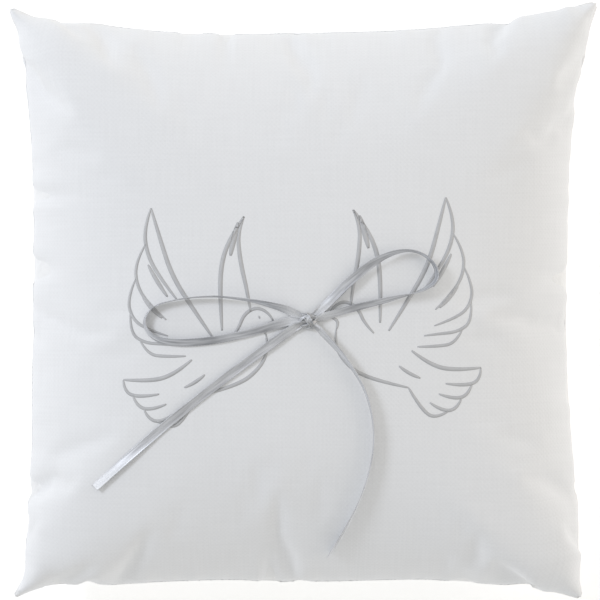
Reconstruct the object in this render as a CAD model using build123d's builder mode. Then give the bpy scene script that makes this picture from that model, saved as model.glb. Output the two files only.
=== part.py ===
from build123d import *

import os
from math import pi, radians, tan

# Ring bearer pillow: a small square wedding pillow, filled with fibre, with a bow of narrow
# satin ribbon tacked to the middle of its front. It lies on its back.
# Frame: +X to the right of the front, +Y to its head, +Z up from the surface it lies on.
# The origin is under the middle of the pillow, on that surface. Lengths are in millimetres.

# Corner tips in plan. The foot is cut a little narrower than the head.
HEAD_LEFT = (-100.0, 100.4)
HEAD_RIGHT = (100.0, 101.2)
FOOT_LEFT = (-97.6, -101.2)
FOOT_RIGHT = (94.0, -101.2)

SIDE_PULL = 0.066  # share of the half width by which the middle of a side is drawn in
SEAM_HEIGHT = 19.5  # height of the edge seam above the surface
CROWN_RISE = 38.3  # top of the front above the seam
BELLY_DROP = 44.0  # depth that the back would have below the seam if nothing held it up
FULLNESS = 2.5  # how flat the crown is before it falls away to the seam
EDGE_CURVE = 0.55  # how roundly it falls away
CORNER_FILL = 0.71  # how full the pillow stays towards its corners

CLOTH = 0.6  # panel thickness: face cloth and its fused interlining
ALLOWANCE = 8.0  # width of the turned-in seam allowance
ALLOWANCE_THICKNESS = 0.5
FILL_GAP = 0.3  # clearance round the filling

THREAD = 0.3  # sewing thread diameter
STITCH_INSET = 1.2  # edge seam, in from the fold
STITCH_REACH = 0.93  # share of each side that the seam runs along, clear of the corner folds
CLOSING_LEFT = -40.0  # the hand-sewn part of the foot seam runs from here
CLOSING_RIGHT = 16.0  # to here
CLOSING_PITCH = 4.0
CLOSING_LENGTH = 2.4  # one slip stitch, across the two folds

KNOT_X = 1.2  # middle of the bow's knot
KNOT_Y = -6.2
KNOT_LENGTH = 5.2
KNOT_WIDTH = 4.2
KNOT_HEIGHT = 3.2
KNOT_EDGE = 1.3
KNOT_TURN = 20  # degrees that the knot lies turned in plan
TACK_SPREAD = 1.2  # between the two tacking turns
TACK_RADIUS = 1.5  # of one turn

RIBBON = 3.0  # ribbon width, and so the diameter of the tube that it twists inside

RUN_SHARE = 0.45  # share of the shorter run that the arc at a bend takes up

# The bow's routes, along the middle of the ribbon, from the knot outwards. They lie just clear
# of the front cloth, and each loop comes back to the knot.
LEFT_LOOP = [
    (-7.2, -2.0, 60.4),
    (-17.5, 0.6, 60.9),
    (-30.5, 2.2, 60.1),
    (-43.5, 1.0, 57.9),
    (-52.0, -1.6, 55.6),
    (-54.8, -7.6, 54.7),
    (-50.4, -12.8, 55.8),
    (-41.5, -14.0, 57.7),
    (-29.5, -12.8, 59.4),
    (-18.0, -10.2, 60.3),
    (-7.6, -6.1, 60.1),
]
RIGHT_LOOP = [
    (7.6, -0.6, 60.4),
    (16.4, 8.4, 61.3),
    (26.8, 16.0, 61.2),
    (36.6, 18.0, 59.4),
    (43.6, 13.6, 57.6),
    (45.0, 7.6, 57.0),
    (39.6, 3.6, 58.3),
    (29.6, 1.2, 59.6),
    (18.6, -1.4, 60.4),
    (8.6, -4.6, 60.2),
]
LEFT_TAIL = [
    (-6.0, -10.3, 60.2),
    (-21.5, -21.6, 59.6),
    (-38.5, -34.6, 57.8),
    (-55.2, -48.5, 54.0),
    (-71.0, -62.8, 47.8),
]
RIGHT_TAIL = [
    (6.4, -10.8, 60.2),
    (14.6, -19.8, 60.0),
    (21.6, -31.5, 59.1),
    (23.9, -47.0, 57.0),
    (20.6, -62.0, 53.3),
    (14.6, -75.4, 47.4),
    (8.3, -85.9, 39.8),
]

RIBBON_ROUTES = {
    "ribbon_left_loop": LEFT_LOOP,
    "ribbon_right_loop": RIGHT_LOOP,
    "ribbon_left_tail": LEFT_TAIL,
    "ribbon_right_tail": RIGHT_TAIL,
}

# Shares of the rise at which the front and the back get a level outline
UPPER_LEVELS = (0, 0.12, 0.3, 0.5, 0.7, 0.85, 0.94, 0.98, 0.995)
LOWER_LEVELS = (0, 0.1, 0.2, 0.3)
CUT_MARGIN = 3.0  # how far a cutting shape runs past the pillow's side

SEAM_PLANE = Plane.XY.offset(SEAM_HEIGHT)

os.makedirs("parts", exist_ok=True)


def plan_point(u, v, inset):
    """Place in plan at (u, v), each -1 at the left or foot and 1 at the right or head."""
    half = 0.5 * (HEAD_RIGHT[0] - HEAD_LEFT[0])
    shrink = 1 - inset / half
    across = u * shrink * (1 - SIDE_PULL * (1 - v * v))
    along = v * shrink * (1 - SIDE_PULL * (1 - u * u))
    right = (1 + across) / 2
    head = (1 + along) / 2
    foot_point = [a + (b - a) * right for a, b in zip(FOOT_LEFT, FOOT_RIGHT)]
    head_point = [a + (b - a) * right for a, b in zip(HEAD_LEFT, HEAD_RIGHT)]
    return tuple(a + (b - a) * head for a, b in zip(foot_point, head_point))


def bowed_outline(side, corner, inset):
    """Four arcs through the middles of the sides and the corners, given as shares of the full size."""
    corners = [(-corner, -corner), (corner, -corner), (corner, corner), (-corner, corner)]
    middles = [(0, -side), (side, 0), (0, side), (-side, 0)]
    return [
        ThreePointArc(
            plan_point(*corners[i], inset),
            plan_point(*middles[i], inset),
            plan_point(*corners[(i + 1) % 4], inset),
        )
        for i in range(4)
    ]


def lower_levels(inset):
    """Shares of the belly's drop at its level outlines, down to the cloth's flat rest."""
    return (*LOWER_LEVELS, (SEAM_HEIGHT - inset) / (BELLY_DROP - inset))


def bulk(inset, rise, shares):
    """Solid that swells from the seam's plane by rise, up or, for a minus rise, down.
    It goes through a level outline at each share of the rise."""
    with BuildPart() as swelling:
        for share in shares:
            side = (1 - share ** (1 / EDGE_CURVE)) ** (1 / FULLNESS)
            corner = (1 - share ** (CORNER_FILL / EDGE_CURVE)) ** (1 / FULLNESS)
            with BuildSketch(Plane.XY.offset(SEAM_HEIGHT + rise * share)):
                with BuildLine():
                    bowed_outline(side, corner, inset)
                make_face()
        loft()
    return swelling.part


def allowance_frame(outer_inset, inner_inset):
    """The strip of cloth that is turned in along the seam, or the room for it, in the seam's plane."""
    with BuildSketch(SEAM_PLANE) as frame:
        with BuildLine():
            bowed_outline(1, 1, outer_inset)
        make_face()
        with BuildLine():
            bowed_outline(1, 1, inner_inset)
        make_face(mode=Mode.SUBTRACT)
    return frame.sketch


def sewn_sides(height):
    """The four lines that a seam thread runs along, at a height, stopping short of the corners."""
    reach = STITCH_REACH
    sides = [
        [plan_point(t, -1, STITCH_INSET) for t in (-reach, 0, reach)],
        [plan_point(1, t, STITCH_INSET) for t in (-reach, 0, reach)],
        [plan_point(t, 1, STITCH_INSET) for t in (-reach, 0, reach)],
        [plan_point(-1, t, STITCH_INSET) for t in (-reach, 0, reach)],
    ]
    with BuildLine(Plane.XY.offset(height)) as sewn:
        for side in sides:
            ThreePointArc(*side)
    return sewn.edges()


def bend_radii(route):
    """Radius at each corner of a route, as large as its two runs allow."""
    points = [Vector(*p) for p in route]
    radii = []
    for before, here, after in zip(points, points[1:], points[2:]):
        run_in = here - before
        run_out = after - here
        half_turn = radians(run_in.get_angle(run_out)) / 2
        radii.append(RUN_SHARE * min(run_in.length, run_out.length) / tan(half_turn))
    return radii


def ribbon_path(route):
    """A route's straight runs, joined by arcs."""
    with BuildLine() as line:
        FilletPolyline(*route, radius=bend_radii(route))
    return line.wire()


# Front panel: the crowned front cloth, with its edge turned in along the seam.
turned_in = allowance_frame(-CUT_MARGIN, ALLOWANCE)
with BuildPart() as front_room:
    add(bulk(CLOTH, CROWN_RISE - CLOTH, UPPER_LEVELS))
    extrude(turned_in, amount=ALLOWANCE_THICKNESS, mode=Mode.SUBTRACT)
with BuildPart() as front_panel:
    add(bulk(0, CROWN_RISE, UPPER_LEVELS))
    add(front_room.part, mode=Mode.SUBTRACT)
front_panel.part.label = "front_panel"
export_step(front_panel.part, "parts/front_panel.step")

# Back panel: the same cloth below the seam, pressed flat where it rests.
with BuildPart() as back_room:
    add(bulk(CLOTH, CLOTH - BELLY_DROP, lower_levels(CLOTH)))
    extrude(turned_in, amount=-ALLOWANCE_THICKNESS, mode=Mode.SUBTRACT)
with BuildPart() as back_panel:
    add(bulk(0, -BELLY_DROP, lower_levels(0)))
    add(back_room.part, mode=Mode.SUBTRACT)
back_panel.part.label = "back_panel"
export_step(back_panel.part, "parts/back_panel.step")

# Filling: loose polyester fibre in both panels, with room round the turned-in edges and threads.
fill_inset = CLOTH + FILL_GAP
with BuildPart() as filling:
    add(bulk(fill_inset, CROWN_RISE - fill_inset, UPPER_LEVELS))
    add(bulk(fill_inset, fill_inset - BELLY_DROP, lower_levels(fill_inset)))
    extrude(
        allowance_frame(-CUT_MARGIN, ALLOWANCE + FILL_GAP),
        amount=ALLOWANCE_THICKNESS + THREAD + FILL_GAP,
        both=True,
        mode=Mode.SUBTRACT,
    )
filling.part.label = "filling"
export_step(filling.part, "parts/filling.step")

# Edge seam, a lockstitch: the needle thread lies on the front's allowance, the bobbin thread on
# the back's.
thread_lift = ALLOWANCE_THICKNESS + THREAD / 2
for name, lift in {"seam_needle_thread": thread_lift, "seam_bobbin_thread": -thread_lift}.items():
    with BuildPart() as seam_thread:
        for side in sewn_sides(SEAM_HEIGHT + lift):
            with BuildSketch(Plane(origin=side @ 0, z_dir=side % 0)):
                Circle(THREAD / 2)
            sweep(path=side)
    seam_thread.part.label = name
    export_step(seam_thread.part, f"parts/{name}.step")

# Closing stitches: the turning gap in the foot seam, closed by hand with upright slip stitches.
closing_count = round((CLOSING_RIGHT - CLOSING_LEFT) / CLOSING_PITCH) + 1
foot_half = 0.5 * (FOOT_RIGHT[0] - FOOT_LEFT[0])
foot_middle = 0.5 * (FOOT_RIGHT[0] + FOOT_LEFT[0])
closing_places = []
for i in range(closing_count):
    along_foot = (CLOSING_LEFT + i * CLOSING_PITCH - foot_middle) / foot_half
    fold_x, fold_y = plan_point(along_foot, -1, 0)
    closing_places.append((fold_x, fold_y - THREAD / 2, SEAM_HEIGHT))
with BuildPart() as closing_stitches:
    with Locations(closing_places):
        Cylinder(THREAD / 2, CLOSING_LENGTH)
closing_stitches.part.label = "closing_stitches"
export_step(closing_stitches.part, "parts/closing_stitches.step")

# Knot: the ribbon's tight overhand knot, a small rounded lump on the front.
knot_foot = SEAM_HEIGHT + CROWN_RISE * UPPER_LEVELS[-1]
with BuildPart() as ribbon_knot:
    with Locations(Location((KNOT_X, KNOT_Y, knot_foot + KNOT_HEIGHT / 2), (0, 0, KNOT_TURN))):
        Box(KNOT_LENGTH, KNOT_WIDTH, KNOT_HEIGHT)
    fillet(ribbon_knot.edges(), KNOT_EDGE)
ribbon_knot.part.label = "ribbon_knot"
export_step(ribbon_knot.part, "parts/ribbon_knot.step")

# Tacking: two turns of thread through the underside of the knot, the front cloth and the fibre.
with BuildPart() as knot_tacking:
    with Locations(Location((KNOT_X, KNOT_Y, knot_foot - CLOTH / 2), (0, 0, KNOT_TURN))):
        with Locations((-TACK_SPREAD / 2, 0, 0), (TACK_SPREAD / 2, 0, 0)):
            Torus(TACK_RADIUS, THREAD / 2, rotation=(0, 90, 0))
knot_tacking.part.label = "knot_tacking"
export_step(knot_tacking.part, "parts/knot_tacking.step")

# Ribbon: each loop and each tail of the bow, as the round tube that the flat ribbon twists inside.
for name, route in RIBBON_ROUTES.items():
    path = ribbon_path(route)
    with BuildPart() as ribbon:
        with BuildSketch(Plane(origin=path @ 0, z_dir=path % 0)):
            Circle(RIBBON / 2)
        sweep(path=path)
    ribbon.part.label = name
    export_step(ribbon.part, f"parts/{name}.step")
    section_by_length = pi * (RIBBON / 2) ** 2 * path.length
    print(name, "length", round(path.length, 1), "volume", round(ribbon.part.volume, 1))
    print("  section times length", round(section_by_length, 1))
    print("  radii", [round(radius, 1) for radius in bend_radii(route)])
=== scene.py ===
from math import cos, pi, radians, sin, tau

import bmesh
import bpy
import numpy as np
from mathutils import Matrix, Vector
from mathutils.bvhtree import BVHTree


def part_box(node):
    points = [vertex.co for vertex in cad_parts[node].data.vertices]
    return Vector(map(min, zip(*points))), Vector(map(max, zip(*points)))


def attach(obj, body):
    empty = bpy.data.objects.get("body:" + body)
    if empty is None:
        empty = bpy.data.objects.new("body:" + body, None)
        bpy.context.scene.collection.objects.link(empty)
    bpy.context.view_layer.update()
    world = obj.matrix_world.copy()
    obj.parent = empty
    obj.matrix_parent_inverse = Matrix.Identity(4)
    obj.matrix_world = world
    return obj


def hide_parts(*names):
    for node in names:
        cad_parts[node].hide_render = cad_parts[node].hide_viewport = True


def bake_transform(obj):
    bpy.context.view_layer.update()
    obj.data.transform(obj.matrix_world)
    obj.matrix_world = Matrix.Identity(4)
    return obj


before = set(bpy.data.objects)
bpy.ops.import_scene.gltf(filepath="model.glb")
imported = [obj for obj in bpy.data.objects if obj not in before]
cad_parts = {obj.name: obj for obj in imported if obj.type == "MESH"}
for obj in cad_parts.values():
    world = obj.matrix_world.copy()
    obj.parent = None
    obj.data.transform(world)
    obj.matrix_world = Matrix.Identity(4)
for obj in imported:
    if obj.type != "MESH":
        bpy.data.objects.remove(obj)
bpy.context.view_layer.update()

MM = 0.001


# ---------------------------------------------------------------------------------------------
# Cover. Two squares of white polycotton, cut a little narrower at the foot, are sewn face to
# face round all four sides, turned right side out and stuffed. The filling draws the sides in
# between the corners and leaves small puckers along the seam. It is simulated as cloth.
# ---------------------------------------------------------------------------------------------

CUT_SHARE = 0.963  # how much of its cut width the filled pillow keeps from tip to tip
FOOT_LEFT, FOOT_RIGHT = Vector((-97.6, -101.2)), Vector((94.0, -101.2))
HEAD_LEFT, HEAD_RIGHT = Vector((-100.0, 100.4)), Vector((100.0, 101.2))
CELLS = 84  # squares along one side of a panel, about 2.5 mm each
SEAM_RISE_MM = 19.5
SOLVER_SCALE = 10.0  # the solver is steadier on a pillow ten times the size
FRAMES = 50
UNFILLED_PUFF_MM = 20  # how far each panel is lifted before the filling presses on it
SOLVER_TABLE_MM = -24.0  # height of the table, from the seam of the empty cover
SOLVER_GAP_MM = 2.0  # between the cloth and the table


def cut_point(u, v):
    """Place on the cut panel, in millimetres: u runs from -1 at the left to 1 at the right, and v from -1
    at the foot to 1 at the head."""
    foot = FOOT_LEFT.lerp(FOOT_RIGHT, (u + 1) / 2)
    head = HEAD_LEFT.lerp(HEAD_RIGHT, (u + 1) / 2)
    return foot.lerp(head, (v + 1) / 2) / CUT_SHARE


def sewn_panels():
    """Both panels as one closed mesh, sewn along their edges: material 0 on the front, 1 on the back."""
    points, flat, faces, sides = [], [], [], []
    ids = {}
    for side in (1, -1):
        for i in range(CELLS + 1):
            for j in range(CELLS + 1):
                edge = i in (0, CELLS) or j in (0, CELLS)
                if edge and side < 0:
                    ids[side, i, j] = ids[1, i, j]
                    continue
                u, v = 2 * i / CELLS - 1, 2 * j / CELLS - 1
                place = cut_point(u, v)
                puff = side * UNFILLED_PUFF_MM * ((1 - u * u) * (1 - v * v)) ** 0.5
                ids[side, i, j] = len(points)
                points.append((place.x * MM, place.y * MM, puff * MM))
                flat.append((place.x * MM, place.y * MM, 0.0))
        for i in range(CELLS):
            for j in range(CELLS):
                corners = ((i, j), (i + 1, j), (i + 1, j + 1), (i, j + 1))
                face = [ids[side, a, b] for a, b in corners]
                faces.append(face if side > 0 else face[::-1])
                sides.append(0 if side > 0 else 1)
    mesh = bpy.data.meshes.new("cover")
    mesh.from_pydata(points, [], faces)
    mesh.polygons.foreach_set("material_index", sides)
    attribute = mesh.attributes.new("flat_cloth", "FLOAT_VECTOR", "POINT")
    attribute.data.foreach_set("vector", np.array(flat, np.float32).ravel())
    return mesh


def read_points(mesh):
    """The mesh's points as rows in metres."""
    points = np.zeros(len(mesh.vertices) * 3, np.float32)
    mesh.vertices.foreach_get("co", points)
    return points.reshape(-1, 3).astype(float)


def write_points(mesh, points):
    """Puts such rows back into the mesh."""
    mesh.vertices.foreach_set("co", points.astype(np.float32).ravel())
    mesh.update()


def fill_by_cloth(mesh):
    """Inflates the sewn cover on a table until it settles, and gives its points in metres."""
    write_points(mesh, read_points(mesh) * SOLVER_SCALE)
    pillow = bpy.data.objects.new("cover_in_solver", mesh)
    bpy.context.scene.collection.objects.link(pillow)
    table_mesh = bpy.data.meshes.new("solver_table")
    reach, depth = 3.0, SOLVER_TABLE_MM * MM * SOLVER_SCALE
    table_corners = [(x * reach, y * reach, depth) for x, y in ((-1, -1), (1, -1), (1, 1), (-1, 1))]
    table_mesh.from_pydata(table_corners, [], [(0, 1, 2, 3)])
    solver_table = bpy.data.objects.new("solver_table", table_mesh)
    bpy.context.scene.collection.objects.link(solver_table)
    solver_table.modifiers.new("solid", "COLLISION")
    solver_table.collision.thickness_outer = SOLVER_GAP_MM * MM * SOLVER_SCALE
    cloth = pillow.modifiers.new("cloth", "CLOTH")
    settings = cloth.settings
    settings.quality = 8
    settings.mass = 0.3
    settings.tension_stiffness = settings.compression_stiffness = 40
    settings.shear_stiffness = 12
    settings.bending_stiffness = 1.5
    settings.tension_damping = settings.compression_damping = 20
    settings.shear_damping = 15
    settings.bending_damping = 1
    settings.air_damping = 3
    settings.use_pressure = True
    settings.uniform_pressure_force = 3
    settings.effector_weights.gravity = 0.25
    cloth.collision_settings.distance_min = SOLVER_GAP_MM * MM * SOLVER_SCALE
    cloth.point_cache.frame_end = FRAMES
    for step in range(1, FRAMES + 1):
        bpy.context.scene.frame_set(step)
    settled = pillow.evaluated_get(bpy.context.evaluated_depsgraph_get())
    points = read_points(settled.data) / SOLVER_SCALE
    bpy.context.scene.frame_set(1)
    bpy.data.objects.remove(pillow)
    bpy.data.objects.remove(solver_table)
    return points


def smooth_step(x):
    """Rises smoothly from 0 at 0 to 1 at 1."""
    x = np.clip(x, 0, 1)
    return x * x * (3 - 2 * x)


# How far each side is drawn in from the straight line between its corner tips, in millimetres,
# at places from the left or the foot, -1, to the right or the head, 1.
ALONG_SIDE = (-1, -0.9, -0.8, -0.65, -0.5, -0.25, 0, 0.25, 0.5, 0.65, 0.8, 0.9, 1)
DRAWN_IN = {
    "left": (0, 1.9, 1.7, 3.0, 4.3, 4.4, 5.3, 5.9, 5.6, 4.5, 2.6, 1.7, 0),
    "right": (0, -0.6, -0.5, 1.3, 2.9, 5.8, 7.0, 7.0, 7.4, 6.2, 3.7, 1.5, 0),
    "foot": (0, 4.3, 4.4, 3.7, 4.7, 5.6, 4.6, 5.2, 5.9, 3.9, 3.3, 1.4, 0),
    "head": (0, 3.7, 3.2, 5.2, 7.5, 8.6, 8.0, 7.7, 6.2, 4.6, 1.9, -0.9, -1.6),
}
SIDE_REACH = 7  # how steeply the drawing-in fades towards the middle of the pillow
EAR_SHARE = 0.34  # share of a half side, at the corner, where the seam lies flat without small puckers
UNDERCUT_MM = 1.8  # how much less the back swells past the seam than the front
UNDERCUT_FADE_MM = 6  # over how much height, below the seam, that comes in
SIDE_BLUR_CELLS = 2
PUCKER_BLUR_CELLS = 3

# The stuffed corners stand out as blunt ears: each one's corner of the cut cloth, the place of its tip,
# and the ways that its level side and its upright side run from there, all in plan and millimetres.
EARS = (
    (HEAD_LEFT, (-102.5, 102.5), (0.93, -0.4), (0.24, -0.97)),
    (HEAD_RIGHT, (101.8, 104.0), (-0.99, -0.15), (-0.3, -0.96)),
    (FOOT_LEFT, (-101.4, -102.9), (0.91, 0.42), (0.42, 0.91)),
    (FOOT_RIGHT, (96.3, -103.1), (-0.96, 0.3), (-0.14, 0.99)),
)
EAR_TIP_MM = 3.0  # how far from the corner the ear keeps wholly to this shape
EAR_LENGTH_MM = 9.0  # and over how much more of the cloth it fades
EAR_BLUNT_MM = 1.1  # how far the very tip is pushed back along both of its sides


def soften(values, width):
    """A row of values, smoothed over a width in steps, with its two ends held."""
    steps = np.arange(-3 * width, 3 * width + 1)
    weights = np.exp(-0.5 * (steps / width) ** 2)
    before = 2 * values[0] - values[3 * width:0:-1]
    after = 2 * values[-1] - values[-2:-3 * width - 2:-1]
    return np.convolve(np.concatenate([before, values, after]), weights / weights.sum(), "valid")


def draw_sides_in(points):
    """Moves the sides in plan, so that each bows in as far as its filling draws it and keeps its small
    puckers, and opens the ears at the corners."""
    grid = points[:(CELLS + 1) ** 2].reshape(CELLS + 1, CELLS + 1, 3)
    t = np.linspace(-1, 1, CELLS + 1)
    ear = smooth_step((1 - np.abs(t)) / EAR_SHARE)
    foot_y, head_y = FOOT_LEFT.y, 0.5 * (HEAD_LEFT.y + HEAD_RIGHT.y)
    lines = {
        "left": (grid[0, :, 0], FOOT_LEFT.x + (HEAD_LEFT.x - FOOT_LEFT.x) * (t + 1) / 2, 1),
        "right": (grid[-1, :, 0], FOOT_RIGHT.x + (HEAD_RIGHT.x - FOOT_RIGHT.x) * (t + 1) / 2, -1),
        "foot": (grid[:, 0, 1], np.full(len(t), foot_y), 1),
        "head": (grid[:, -1, 1], HEAD_LEFT.y + (HEAD_RIGHT.y - HEAD_LEFT.y) * (t + 1) / 2, -1),
    }
    shifts = {}
    for side, (now, straight, inwards) in lines.items():
        drawn = soften(np.interp(t, ALONG_SIDE, DRAWN_IN[side]), SIDE_BLUR_CELLS)
        exact = (straight + inwards * drawn) * MM - now
        shifts[side] = exact + (soften(exact, PUCKER_BLUR_CELLS) - exact) * ear
    start = np.zeros((len(points), 3), np.float32)
    cover.attributes["flat_cloth"].data.foreach_get("vector", start.ravel())
    v = np.clip((start[:, 1] * CUT_SHARE / MM - foot_y) / (head_y - foot_y) * 2 - 1, -1, 1)
    left_x = FOOT_LEFT.x + (HEAD_LEFT.x - FOOT_LEFT.x) * (v + 1) / 2
    right_x = FOOT_RIGHT.x + (HEAD_RIGHT.x - FOOT_RIGHT.x) * (v + 1) / 2
    u = np.clip((start[:, 0] * CUT_SHARE / MM - left_x) / (right_x - left_x) * 2 - 1, -1, 1)
    toward_left, toward_right = ((1 - u) / 2) ** SIDE_REACH, ((1 + u) / 2) ** SIDE_REACH
    toward_foot, toward_head = ((1 - v) / 2) ** SIDE_REACH, ((1 + v) / 2) ** SIDE_REACH
    under_seam = SEAM_RISE_MM - 1 - points[:, 2] / MM
    under = UNDERCUT_MM * MM * smooth_step(under_seam / UNDERCUT_FADE_MM)
    points[:, 0] += (np.interp(v, t, shifts["left"]) + under) * toward_left
    points[:, 0] += (np.interp(v, t, shifts["right"]) - under) * toward_right
    points[:, 1] += (np.interp(u, t, shifts["foot"]) + under) * toward_foot
    points[:, 1] += (np.interp(u, t, shifts["head"]) - under) * toward_head
    for corner, tip, level_way, upright_way in EARS:
        off = np.abs(start[:, :2] * CUT_SHARE / MM - corner.to_tuple())
        from_tip = np.hypot(off[:, 0], off[:, 1])
        kept = smooth_step((from_tip - EAR_TIP_MM) / EAR_LENGTH_MM)
        off += EAR_BLUNT_MM * np.exp(-from_tip / EAR_BLUNT_MM)[:, None]
        opened = np.array(tip) + off[:, :1] * level_way + off[:, 1:] * upright_way
        points[:, :2] += (1 - kept)[:, None] * (opened * MM - points[:, :2])
    return points


cover = sewn_panels()
filled = fill_by_cloth(cover)
filled[:, 2] -= filled[:, 2].min()
filled = draw_sides_in(filled)
write_points(cover, filled)

# One round of subdivision takes the simulation's facets off.
cover_object = bpy.data.objects.new("cover", cover)
bpy.context.scene.collection.objects.link(cover_object)
rounder = cover_object.modifiers.new("rounder", "SUBSURF")
rounder.levels = rounder.render_levels = 1
cover = bpy.data.meshes.new_from_object(cover_object.evaluated_get(bpy.context.evaluated_depsgraph_get()))
bpy.data.objects.remove(cover_object)

# The seam pulls the fold in, its thread gathers the cloth into small soft puckers, and a few
# deeper ones stand where the cloth was eased in or the gap was closed by hand.
PUCKER_MM, PUCKER_LENGTH_MM, PUCKER_DRIFT_MM = 0.26, 9.7, 41
WIDE_PUCKER_MM, WIDE_PUCKER_LENGTH_MM = 0.2, 17.3
PUCKER_FADE_MM = 6
PUCKER_START_MM = 2.5
VALLEY_MM, VALLEY_WIDTH_MM = 0.55, 1.1
DEEP_PUCKERS = (  # place in plan, depth, width along the seam and length into the panel, all in mm
    (-98, 35, 1.5, 3.5, 16),
    (-98, 11, 2.6, 4.5, 9),
    (-98, -62, 1.1, 4.0, 12),
    (-26, 101, 1.1, 3.0, 14),
    (-38, 101, 0.9, 4.0, 10),
    (-12, -101, 1.3, 3.0, 13),
    (-84, -101, 1.0, 4.0, 12),
    (52, -101, 0.9, 4.5, 9),
    (96, 8, 1.3, 4.5, 12),
    (96, -30, 0.7, 4.0, 9),
)
cloth_points = read_points(cover)
flat_cloth = np.zeros(len(cloth_points) * 3, np.float32)
cover.attributes["flat_cloth"].data.foreach_get("vector", flat_cloth)
flat_cloth = flat_cloth.reshape(-1, 3).astype(float) * CUT_SHARE / MM
head_share = (flat_cloth[:, 1] - FOOT_LEFT.y) / (HEAD_LEFT.y - FOOT_LEFT.y)
from_left = flat_cloth[:, 0] - (FOOT_LEFT.x + (HEAD_LEFT.x - FOOT_LEFT.x) * head_share)
from_right = FOOT_RIGHT.x + (HEAD_RIGHT.x - FOOT_RIGHT.x) * head_share - flat_cloth[:, 0]
right_share = from_left / (from_left + from_right)
from_foot = flat_cloth[:, 1] - FOOT_LEFT.y
from_head = HEAD_LEFT.y + (HEAD_RIGHT.y - HEAD_LEFT.y) * right_share - flat_cloth[:, 1]
from_upright_side = np.minimum(from_left, from_right)
from_level_side = np.minimum(from_foot, from_head)
from_seam = np.clip(np.minimum(from_upright_side, from_level_side), 0, None)
along_seam = np.where(from_upright_side < from_level_side, flat_cloth[:, 1], flat_cloth[:, 0])
normals = np.zeros(len(cloth_points) * 3, np.float32)
cover.vertex_normals.foreach_get("vector", normals)
normals = normals.reshape(-1, 3).astype(float)
drift = 1.3 * np.sin(along_seam * tau / PUCKER_DRIFT_MM)
pucker = PUCKER_MM * np.sin(along_seam * tau / PUCKER_LENGTH_MM + drift)
pucker += WIDE_PUCKER_MM * np.sin(along_seam * tau / WIDE_PUCKER_LENGTH_MM + 2.1)
pucker *= np.exp(-from_seam / PUCKER_FADE_MM) * smooth_step(from_seam / PUCKER_START_MM)
valley = -VALLEY_MM * np.exp(-((from_seam / VALLEY_WIDTH_MM) ** 2))
deep = np.zeros(len(cloth_points))
for x, y, depth, width, length in DEEP_PUCKERS:
    upright = abs(x) > abs(y)
    aside = flat_cloth[:, 1] - y if upright else flat_cloth[:, 0] - x
    inwards = np.abs(flat_cloth[:, 0] - x) if upright else np.abs(flat_cloth[:, 1] - y)
    ridge = (1 - 1.1 * (aside / width) ** 2) * np.exp(-((aside / width) ** 2))
    deep -= depth * ridge * np.exp(-((inwards / length) ** 2))
cloth_points += normals * ((pucker + valley + deep) * MM)[:, None]
cloth_points[:, 2] = np.maximum(cloth_points[:, 2], 0)
write_points(cover, cloth_points)


CLOTH_THICK_MM = 0.35  # drawn thicker than real polycotton, which has about 0.25 mm
HEM_SHARE = 0.1  # of the cloth's thickness, which is left at the sewn edge
HEM_MM = 3.0


def panel_of(side, name):
    """One panel of the cover as its own piece of cloth. Its thickness is turned inwards, and runs thin at
    the seam, so that the two panels meet there edge to edge."""
    mesh = cover.copy()
    mesh.name = name
    panel = bpy.data.objects.new(name, mesh)
    bpy.context.scene.collection.objects.link(panel)
    hem = panel.vertex_groups.new(name="hem")
    for k, share in enumerate(smooth_step(from_seam / HEM_MM)):
        hem.add([k], float(share), "REPLACE")
    indices = np.zeros(len(mesh.polygons), np.int32)
    mesh.polygons.foreach_get("material_index", indices)
    work = bmesh.new()
    work.from_mesh(mesh)
    work.faces.ensure_lookup_table()
    other = [work.faces[k] for k in np.nonzero(indices != side)[0]]
    bmesh.ops.delete(work, geom=other, context="FACES")
    for face in work.faces:
        face.material_index = 0
        face.smooth = True
    work.to_mesh(mesh)
    work.free()
    thick = panel.modifiers.new("thickness", "SOLIDIFY")
    thick.thickness = CLOTH_THICK_MM * MM
    thick.vertex_group = "hem"
    thick.thickness_vertex_group = HEM_SHARE
    thick.offset = -1
    thick.use_even_offset = False
    final = bpy.data.meshes.new_from_object(panel.evaluated_get(bpy.context.evaluated_depsgraph_get()))
    panel.modifiers.clear()
    panel.data = final
    return panel


front_panel = panel_of(0, "pillow_front")
back_panel = panel_of(1, "pillow_back")
ABOVE_PILLOW = 0.2  # in metres
cover_faces = [tuple(face.vertices) for face in cover.polygons]
cover_tree = BVHTree.FromPolygons(cloth_points.tolist(), cover_faces)


def cloth_height(x, y):
    """Height of the front cloth over a place in plan, in metres."""
    place, *_ = cover_tree.ray_cast(Vector((x, y, ABOVE_PILLOW)), Vector((0, 0, -1)))
    return place.z if place else 0.0


def linear(hex_colour):
    """A colour written as sRGB hex, as the linear values that a shader takes."""
    parts = [int(hex_colour[k:k + 2], 16) / 255 for k in (1, 3, 5)]
    return [c / 12.92 if c <= 0.04045 else ((c + 0.055) / 1.055) ** 2.4 for c in parts] + [1.0]


def add(tree, kind, settings=(), links=()):
    """Adds a shader node, with its settings as (name, value) and its links as (input, node, output)."""
    node = tree.nodes.new(kind)
    for name, value in settings:
        if isinstance(name, str) and hasattr(node, name):
            setattr(node, name, value)
        else:
            node.inputs[name].default_value = value
    for name, source, output in links:
        tree.links.new(source.outputs[output], node.inputs[name])
    return node


def new_material(name):
    """An empty material and its node tree."""
    material = bpy.data.materials.new(name)
    material.use_nodes = True
    material.node_tree.nodes.clear()
    return material, material.node_tree


THREAD_PITCH_MM = 0.8  # real polycotton has about 0.35 mm; drawn coarser, so that it shows
THREAD_WANDER_MM = 11.1  # how far apart the threads' wider and closer stretches lie
SLUB_LENGTH_MM, SLUB_WIDTH_MM = 16.7, 0.714


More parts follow.
